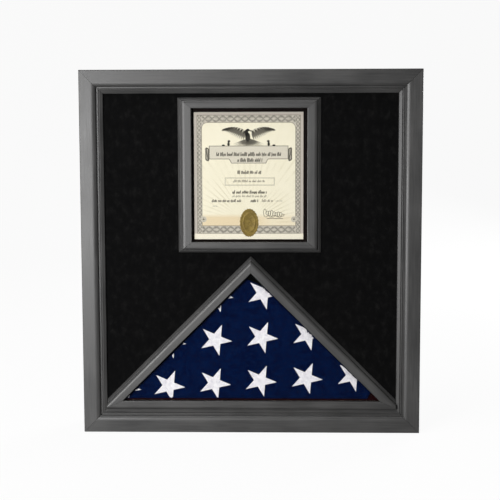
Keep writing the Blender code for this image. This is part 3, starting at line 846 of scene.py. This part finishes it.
def outlined(obj, pale, dark, width):
    """Gives a flat print piece a dark line all along its edge."""
    edit(obj)
    bpy.ops.mesh.inset(thickness=width, use_even_offset=True)
    bpy.ops.mesh.select_all(action="INVERT")
    obj.data.materials.append(pale)
    obj.data.materials.append(dark)
    obj.active_material_index = 1
    bpy.ops.object.material_slot_assign()
    close_edit()
    return obj


def build_banner(pale, dark):
    """A title plate with a lower tab and a folded ribbon end on each side."""
    banner = paper_plate(*BANNER, 2)
    foot = on_paper(0, BANNER[2]).z
    for u in (-TAB_HALF, TAB_HALF):
        clip(banner, on_paper(u, 0), (1, 0, 0), True)

    def on_tab(element):
        at = centre_of(element)
        return abs(at.z - foot) < SNAP and abs(at.x - PRINT_X) < 5 * MM

    for drop, share in TAB_STEPS:
        edit(banner, "EDGE")
        pick(banner, "edges", on_tab)
        grow((0, 0, -drop), (share, 1, 1), on_paper(0, 0))
        close_edit()
        foot -= drop
    outlined(banner, pale, dark, BANNER_LINE)
    ends = []
    for side in (-1, 1):
        middle = side * RIBBON_MIDDLE
        sides = (middle - RIBBON_HALF, middle + RIBBON_HALF)
        end = paper_plate(*sides, RIBBON_FOOT, RIBBON_HEAD)
        edit(end, "VERT")
        pick(end, "verts", lambda v: (v.co.x - PRINT_X) * side > RIBBON_MIDDLE)
        bpy.ops.transform.translate(value=(0, 0, 2.5 * MM))
        bpy.ops.mesh.select_mode(type="FACE")
        bpy.ops.mesh.select_all(action="SELECT")
        bpy.ops.mesh.bevel(offset=2 * MM, segments=3, affect="VERTICES")
        close_edit()
        ends.append(outlined(end, pale, dark, RIBBON_LINE))
    print_piece(join(ends), "certificate_ribbon_ends", pale, dark)
    print_piece(banner, "certificate_banner", pale, dark, layer=2)


def strokes(seed, *sizes, pitch):
    """A row of upright pen strokes, in groups with gaps, that spells nothing."""
    u0, u1, v, height, weight = (size * MM for size in sizes)
    draw = random.Random(seed)
    step = pitch * weight
    row = paper_plate(u0, u0 + weight, v - height / 2, v + height / 2, 3)
    array = row.modifiers.new("row", "ARRAY")
    array.count = max(2, int((u1 - u0) / step))
    array.use_relative_offset = False
    array.use_constant_offset = True
    array.constant_offset_displace = (step, 0, 0)
    apply_modifiers(row)
    edit(row)
    bm = bmesh.from_edit_mesh(row.data)
    left = draw.randint(3, 7)
    dropped = []
    for face in sorted(bm.faces, key=lambda f: centre_of(f).x):
        left -= 1
        rise = draw.choice((0.0, 0.0, 0.0, 0.35, 0.5)) * height
        lean = 0.12 * height
        for vert in face.verts:
            if vert.co.z > PRINT_Z + v:
                vert.co.z += rise - 0.2 * height
                vert.co.x += lean
            elif draw.random() < 0.06:
                vert.co.z -= 0.3 * height
        if left == 0:
            dropped.append(face)
            left = draw.randint(4, 9)
    bmesh.ops.delete(bm, geom=dropped, context="FACES")
    bmesh.update_edit_mesh(row.data)
    close_edit()
    return row


def build_writing(dark, middle):
    """Rows of meaningless strokes, a thin box and the line under the signature."""
    rows = enumerate((*BOLD_ROWS, *LIGHT_ROWS), 1)
    rows = [strokes(seed, *sizes, pitch=pitch) for seed, (*sizes, pitch) in rows]
    bold, light = rows[: len(BOLD_ROWS)], rows[len(BOLD_ROWS) :]
    light += [line_frame(*outline) for outline in BOX_LINES]
    light.append(paper_plate(*UNDERLINE))
    print_piece(join(bold), "certificate_bold_lines", dark, layer=3)
    print_piece(join(light), "certificate_light_lines", middle)


def build_signature(dark):
    """A looping pen line."""
    bpy.ops.curve.primitive_nurbs_path_add(location=(0, 0, 0))
    pen = bpy.context.object
    line = pen.data
    line.splines.clear()
    spline = line.splines.new("NURBS")
    spline.points.add(PEN_POINTS - 1)
    for i, point in enumerate(spline.points):
        t = i / (PEN_POINTS - 1)
        loops = 2 * math.pi * PEN_LOOPS * t
        swell = 0.35 + 0.65 * abs(math.cos(2.6 * math.pi * t))
        u = (26 + 32 * t) * MM + 3.2 * MM * math.cos(loops)
        v = (-63 - 3 * t) * MM + 7.6 * MM * swell * math.sin(loops) * (1 - 0.5 * t)
        point.co = (*on_paper(u, v, 1), 1)
    spline.order_u = 4
    spline.use_endpoint_u = True
    line.bevel_depth = PEN_RADIUS
    line.bevel_resolution = 0
    line.use_fill_caps = True
    select_only(pen)
    bpy.ops.object.convert(target="MESH")
    pen = bpy.context.object
    edit(pen)
    bpy.ops.transform.resize(value=(1, 0.12, 1), center_override=on_paper(0, 0, 1))
    close_edit()
    finish_piece(pen, "certificate_signature", "case", "paper", dark)


def build_seal(foil):
    """An oval foil seal: scalloped edge, rings, a ring of beads and a rosette."""
    low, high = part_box("gold_seal")
    centre = (low + high) / 2
    half_width, half_height = (high.x - low.x) / 2, (high.z - low.z) / 2
    back = PAPER_Y - SEAL_LIFT
    seal = disc((centre.x, back, centre.z), half_width, half_height, SEAL_POINTS)
    edit(seal, "VERT")
    bm = bmesh.from_edit_mesh(seal.data)
    bm.verts.ensure_lookup_table()
    for i, vert in enumerate(bm.verts):
        if i % 4 in (0, 1):
            vert.co = centre + (vert.co - centre) * SCALLOP
            vert.co.y = back
    bmesh.update_edit_mesh(seal.data)
    bpy.ops.mesh.select_mode(type="FACE")
    bpy.ops.mesh.select_all(action="SELECT")
    bpy.ops.mesh.extrude_region_move(TRANSFORM_OT_translate={"value": (0, -FOIL, 0)})
    for share, rise in RIM_STEPS + INNER_STEPS:
        grow((0, -rise * MM, 0), (share, 1, share), centre)
    close_edit()
    face_outwards(seal)
    pieces = [seal]
    bpy.ops.mesh.primitive_uv_sphere_add(segments=8, ring_count=6, radius=BEAD_RADIUS)
    bead = bpy.context.object
    ring = (half_width - BEAD_INSETS[0], half_height - BEAD_INSETS[1])
    for i in range(BEADS):
        angle = 2 * math.pi * i / BEADS
        twin = copy_of(bead)
        twin.scale = (1, BEAD_FLATTEN, 1)
        twin.location = (
            centre.x + ring[0] * math.cos(angle),
            back - BEAD_LIFT,
            centre.z + ring[1] * math.sin(angle),
        )
        pieces.append(settle(twin))
    remove(bead)
    for i in range(PETALS):
        petal = feather((0, 0), 360 / PETALS * i, PETAL_LENGTH, PETAL_WIDTH)
        petal.location = Vector((centre.x, back - PETAL_LIFT, centre.z)) - on_paper(0, 0, 2)
        settle(petal)
        thicken(petal, FOIL)
        pieces.append(petal)
    piece = join(pieces)
    finish_piece(piece, "embossed_seal", "case", "gold_foil", foil, replaced=["gold_seal"])
    smooth(piece, 30)


def build_certificate():
    """The paper, what is printed on it, and its seal."""
    dark = ink("dark_print", (0.016, 0.0145, 0.011), (0.058, 0.053, 0.042))
    middle = ink("grey_print", (0.105, 0.096, 0.074), (0.215, 0.198, 0.156))
    pale = ink("banner_tint", (0.60, 0.56, 0.46), (0.66, 0.62, 0.51))
    build_paper()
    build_border(middle)
    build_rosettes(middle, pale)
    build_bird(dark, middle)
    build_banner(pale, middle)
    build_writing(dark, middle)
    build_signature(middle)
    build_seal(gold_foil())


# --- folded flag ---
BUNDLE_LOW, BUNDLE_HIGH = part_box("folded_flag")
FOLD_FRONT = BUNDLE_LOW.y + 0.4 * MM
FOLD_BASE = SIGHT_BASE + 0.9 * MM
BUNDLE_TIP = 0.243
FOLD_LEFT = 1.3 * MM  # from the left sight edge to the fold
FOLD_RIGHT = 0.8 * MM
# where the top layer turns under: a point of each line, and its outward direction
FOLD_CUTS = (
    ((-3 * MM, 0, 262.3 * MM), (8.5, 0, 15)),
    ((12 * MM, 0, 254 * MM), (3.5, 0, 9)),
    ((197 * MM, 0, SIGHT_BASE), (11, 0, -6)),
)
STRIPE_HEIGHT = 13.5 * MM
STRIPE_UNDER = 1.0 * MM  # as much of it as hides below the sight edge
STAR_RADIUS = 28.1 * MM
STAR_INNER = 0.382
STAR_TURN = math.radians(-23)
STAR_ORIGIN = Vector((-140.6, 0, 77.6)) * MM
STAR_ACROSS = Vector((78.0, 0, 4.6)) * MM
STAR_UP = Vector((2.4, 0, 74.9)) * MM
STARS = (
    (-0.96, 0),
    *((i, 0) for i in range(0, 5)),
    *((i, 1) for i in range(0, 4)),
    *((i, 2) for i in range(1, 3)),
)
STAR_THICKNESS = 0.35 * MM
CLOTH_FRAMES = 20


def flag_line(inset, side):
    """A point and the outward normal of a line inside a sloping sight edge."""
    return Vector((0, 0, SIGHT_APEX - inset * math.sqrt(2))), Vector((side, 0, 1)).normalized()


def triangle_plate(y, base, left, right):
    """A flat triangle inside the sight opening, by its insets from the three edges."""
    half = SIGHT_APEX - base
    obj = plate(-half, half, base, SIGHT_APEX, y)
    clip(obj, *flag_line(left, -1))
    clip(obj, *flag_line(right, 1))
    return obj


def puff(obj, voxel, pressure, cap, keep_inside):
    """Swells a closed shape as cloth under pressure, no further than the cap."""
    obj.data.remesh_voxel_size = voxel
    select_only(obj)
    bpy.ops.object.voxel_remesh()
    rest = [vert.co.copy() for vert in obj.data.vertices]
    cloth = obj.modifiers.new("cloth", "CLOTH")
    cloth.settings.use_pressure = True
    cloth.settings.uniform_pressure_force = pressure
    cloth.settings.effector_weights.gravity = 0
    cloth.settings.quality = 5
    cloth.point_cache.frame_start = 1
    cloth.point_cache.frame_end = CLOTH_FRAMES
    for number in range(1, CLOTH_FRAMES + 1):
        bpy.context.scene.frame_set(number)
    apply_modifiers(obj)
    bpy.context.scene.frame_set(1)
    for vert, start in zip(obj.data.vertices, rest):
        move = vert.co - start
        if move.length > cap:
            vert.co = start + move.normalized() * cap
        keep_inside(vert)
    soft = obj.modifiers.new("smooth", "SUBSURF")
    soft.levels = soft.render_levels = 1
    apply_modifiers(obj)
    for vert in obj.data.vertices:
        keep_inside(vert)
    select_only(obj)
    bpy.ops.object.shade_smooth()


def dents(vert, depth, size):
    """How far a point of the cloth lies back, from soft dents of one size."""
    return depth * (0.5 + 0.5 * noise.noise(vert.co / size))


def build_bundle(navy):
    """The thick body of the folded flag, pressed to the shelf and the walls."""
    gap = 0.4 * MM
    low, high = BUNDLE_LOW, BUNDLE_HIGH
    front = low.y + 3.2 * MM
    bundle = triangle_plate(front + 1.5 * MM, low.z + 2 * MM, 1.0 * MM, 1.0 * MM)
    clip(bundle, (0, 0, BUNDLE_TIP), (0, 0, 1))
    thicken(bundle, high.y - front - 3 * MM)
    face_outwards(bundle)
    round_edges(bundle, 4 * MM, 3)

    def keep_inside(vert):
        vert.co.y = min(max(vert.co.y, front), high.y - gap)
        vert.co.z = max(vert.co.z, low.z)
        over = abs(vert.co.x) + vert.co.z - (WELL_APEX - 2 * gap)
        if over > 0:
            vert.co.z -= over / 2
            vert.co.x -= math.copysign(over / 2, vert.co.x)

    puff(bundle, 5 * MM, 4.0, 6 * MM, keep_inside)
    finish_piece(bundle, "flag_bundle", "case", "flag_cloth", navy, replaced=["folded_flag"])


def build_top_fold(navy):
    """The top layer of the fold, whose soft left edge and blunt tip show."""
    back = BUNDLE_LOW.y + 3.4 * MM
    fold = triangle_plate(FOLD_FRONT + 0.7 * MM, FOLD_BASE, FOLD_LEFT, FOLD_RIGHT)
    for point, outwards in FOLD_CUTS:
        clip(fold, point, Vector(outwards).normalized())
    thicken(fold, back - FOLD_FRONT - 1.0 * MM)
    face_outwards(fold)

    def keep_inside(vert):
        vert.co.y = max(vert.co.y, FOLD_FRONT)

    puff(fold, 2.4 * MM, 3.0, 1.2 * MM, keep_inside)
    middle = (FOLD_FRONT + back) / 2
    for vert in fold.data.vertices:
        if vert.co.y < middle:
            vert.co.y += dents(vert, 1.1 * MM, 38 * MM) + dents(vert, 0.35 * MM, 9 * MM)
    finish_piece(fold, "flag_top_fold", "case", "flag_cloth", navy)
    return fold


def star_blank():
    """A five-pointed star with enough faces to lie over the folds."""
    star = disc((0, 0, 0), STAR_RADIUS, STAR_RADIUS, 10)
    edit(star, "VERT")
    pick(star, "verts", lambda v: v.index % 2 == 1)
    bpy.ops.transform.resize(value=(STAR_INNER,) * 3, center_override=(0, 0, 0))
    bpy.ops.mesh.select_mode(type="FACE")
    bpy.ops.mesh.select_all(action="SELECT")
    bpy.ops.mesh.poke()
    bpy.ops.mesh.subdivide(number_cuts=7)
    close_edit()
    top = max(star.data.vertices, key=lambda v: v.co.length)
    turn = math.atan2(top.co.x, top.co.z)
    star.rotation_euler = (0, -turn - STAR_TURN, 0)
    return settle(star)


def build_stars(fold, white):
    """Stars sewn on the top fold, cut where the cloth turns under."""
    surface = BVHTree.FromObject(fold, bpy.context.evaluated_depsgraph_get())
    blank = star_blank()
    stars = []
    for across, up in STARS:
        star = copy_of(blank)
        star.location = STAR_ORIGIN + STAR_ACROSS * across + STAR_UP * up
        star.location.y = 0
        settle(star)
        clip(star, *flag_line(FOLD_LEFT + 0.1 * MM, -1))
        clip(star, *flag_line(FOLD_RIGHT + 0.1 * MM, 1))
        clip(star, (0, 0, FOLD_BASE), (0, 0, -1))
        if not star.data.polygons:
            remove(star)
            continue
        missed = set()
        for vert in star.data.vertices:
            start = Vector((vert.co.x, BUNDLE_LOW.y - 5 * MM, vert.co.z))
            point, *_ = surface.ray_cast(start, Vector((0, 1, 0)), 12 * MM)
            if point is None:
                missed.add(vert.index)
            else:
                vert.co.y = point.y - STAR_THICKNESS * 0.8
        if missed:
            edit(star, "VERT")
            pick(star, "verts", lambda v: v.index in missed)
            bpy.ops.mesh.delete(type="VERT")
            close_edit()
        thicken(star, STAR_THICKNESS)
        stars.append(star)
    remove(blank)
    piece = join(stars)
    finish_piece(piece, "flag_stars", "case", "flag_cloth", white)
    smooth(piece, 50)


def build_red_edge(shade_darkened_red):
    """The stripe's edge that shows under the top fold and at its right corner. Its red cloth is
    darkened almost to black, as painted shade.
    """
    strip = triangle_plate(FOLD_FRONT + 2.9 * MM, SIGHT_BASE - STRIPE_UNDER, 3.0 * MM, 1.6 * MM)
    clip(strip, (0, 0, SIGHT_BASE - STRIPE_UNDER + STRIPE_HEIGHT), (0, 0, 1))
    edit(strip, "FACE")
    bpy.ops.mesh.subdivide(number_cuts=6)
    close_edit()
    thicken(strip, 1.6 * MM)
    round_edges(strip, 0.5 * MM, 2)
    finish_piece(strip, "flag_red_fold", "case", "flag_cloth", shade_darkened_red)
    smooth(strip, 60)


def build_pad(cover):
    """The felt pad on the inside of the back panel."""
    low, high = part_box("flag_pad")
    pad = plate(low.x, high.x, low.z, high.z, low.y + 1.5 * MM)
    clip(pad, (0, 0, high.z), (1, 0, 1))
    clip(pad, (0, 0, high.z), (-1, 0, 1))
    thicken(pad, high.y - low.y - 1.5 * MM)
    face_outwards(pad)

    def keep_inside(vert):
        vert.co.y = min(max(vert.co.y, low.y), high.y)
        vert.co.z = max(vert.co.z, low.z)

    puff(pad, 4 * MM, 2.0, 1.5 * MM, keep_inside)
    finish_piece(pad, "felt_pad", "panel", "felt", cover, replaced=["flag_pad"])


def build_flag():
    navy = woven_cotton("navy_cotton", (0.0, 0.0004, 0.013), (0.0006, 0.0078, 0.046))
    # the stripe's true red, with both colours darkened almost to black: painted shade where the
    # stripe lies back under the top fold and the frame rail
    shade_darkened_red = woven_cotton("red_cotton_darkened_as_shade", (0.004, 0.0004, 0.0007), (0.017, 0.0015, 0.0026))
    build_bundle(navy)
    fold = build_top_fold(navy)
    build_stars(fold, star_stitch())
    build_red_edge(shade_darkened_red)
    build_pad(felt())


# --- stage ---
# name, place, target, size and power of each light
LIGHTS = (
    ("key_light", (-0.95, -1.85, 0.37), (-0.1, 0, 0.33), (0.9, 0.9), 55),
    ("top_light", (-0.4, -0.6, 2.1), (0, 0, 0.3), (0.9, 0.9), 16),
    ("back_light", (1.5, 2.3, 1.3), (0, 0.05, 0.3), (1.4, 1.4), 60),
)
SKY_GREY = 0.19  # what the sky gives the case
SEEN_GREY = 0.955  # what shows behind it
FLOOR_SIZE = 40
FLOOR_BACK = 4  # where the floor turns up, behind the case
FLOOR_GREY = 0.06
FLOOR_GLOW = (0.10, 0.93)  # towards the case, and as seen
CAMERA_TARGET = Vector((-1.1 * MM, FRONT_Y, 0.3114))
CAMERA_DISTANCE = 1.9
CAMERA_AZIMUTH, CAMERA_ELEVATION, CAMERA_ROLL = map(math.radians, (1.55, 5.884, -0.156))
CAMERA_LENS = 81.97


def build_floor():
    """A pale sweep: a floor that turns up into a wall far behind the case."""
    middle = FLOOR_BACK - FLOOR_SIZE / 2
    bpy.ops.mesh.primitive_plane_add(size=FLOOR_SIZE, location=(0, middle, 0))
    floor = bpy.context.object
    floor.name = "floor"
    edit(floor, "EDGE")
    pick(floor, "edges", lambda e: centre_of(e).y > FLOOR_BACK - 1)
    bpy.ops.mesh.extrude_region_move(TRANSFORM_OT_translate={"value": (0, 0, 5)})
    pick(floor, "edges", lambda e: centre_of(e).y > FLOOR_BACK - 0.1 and centre_of(e).z < 0.1)
    bpy.ops.mesh.bevel(offset=1.6, segments=16)
    close_edit()
    smooth(floor, 80)
    finish = Finish("pale_floor", Roughness=0.95, Specular_IOR_Level=0.0)
    finish.shader.inputs["Base Color"].default_value = (*(FLOOR_GREY,) * 3, 1)
    finish.shader.inputs["Emission Color"].default_value = (1, 1, 1, 1)
    path = finish.add("ShaderNodeLightPath", {}, "Is Camera Ray")
    finish.to_shader("Emission Strength", finish.spread(path, 0, 1, *FLOOR_GLOW))
    floor.data.materials.append(finish.material)


def area_light(name, place, target, size, energy):
    light = bpy.data.lights.new(name, "AREA")
    light.shape = "RECTANGLE"
    light.size, light.size_y = size
    light.energy = energy
    lamp = bpy.data.objects.new(name, light)
    lamp.location = place
    lamp.rotation_euler = (Vector(target) - Vector(place)).to_track_quat("-Z", "Y").to_euler()
    bpy.context.collection.objects.link(lamp)


def light_studio():
    """Three area lights, and a sky that is darker for the case than it looks."""
    for row in LIGHTS:
        area_light(*row)
    world = bpy.data.worlds.new("studio")
    bpy.context.scene.world = world
    world.use_nodes = True
    tree = world.node_tree
    sky = tree.nodes["Background"]
    sky.inputs["Color"].default_value = (*(SKY_GREY,) * 3, 1)
    seen = tree.nodes.new("ShaderNodeBackground")
    seen.inputs["Color"].default_value = (*(SEEN_GREY,) * 3, 1)
    path = tree.nodes.new("ShaderNodeLightPath")
    mix = tree.nodes.new("ShaderNodeMixShader")
    tree.links.new(path.outputs["Is Camera Ray"], mix.inputs["Fac"])
    tree.links.new(sky.outputs[0], mix.inputs[1])
    tree.links.new(seen.outputs[0], mix.inputs[2])
    tree.links.new(mix.outputs[0], tree.nodes["World Output"].inputs["Surface"])


def place_camera():
    """Almost straight in front and a little above."""
    level = math.cos(CAMERA_ELEVATION)
    back = Vector(
        (
            math.sin(CAMERA_AZIMUTH) * level,
            -math.cos(CAMERA_AZIMUTH) * level,
            math.sin(CAMERA_ELEVATION),
        )
    )
    data = bpy.data.cameras.new("camera")
    data.lens = CAMERA_LENS
    data.sensor_width = 36
    camera = bpy.data.objects.new("camera", data)
    camera.location = CAMERA_TARGET + CAMERA_DISTANCE * back
    camera.rotation_euler = (-back).to_track_quat("-Z", "Y").to_euler()
    camera.rotation_euler.rotate_axis("Z", CAMERA_ROLL)
    bpy.context.collection.objects.link(camera)
    bpy.context.scene.camera = camera


paint_nodes()
build_velvet()
build_certificate()
build_flag()
build_floor()
light_studio()
place_camera()
bpy.context.scene.view_settings.view_transform = "Standard"
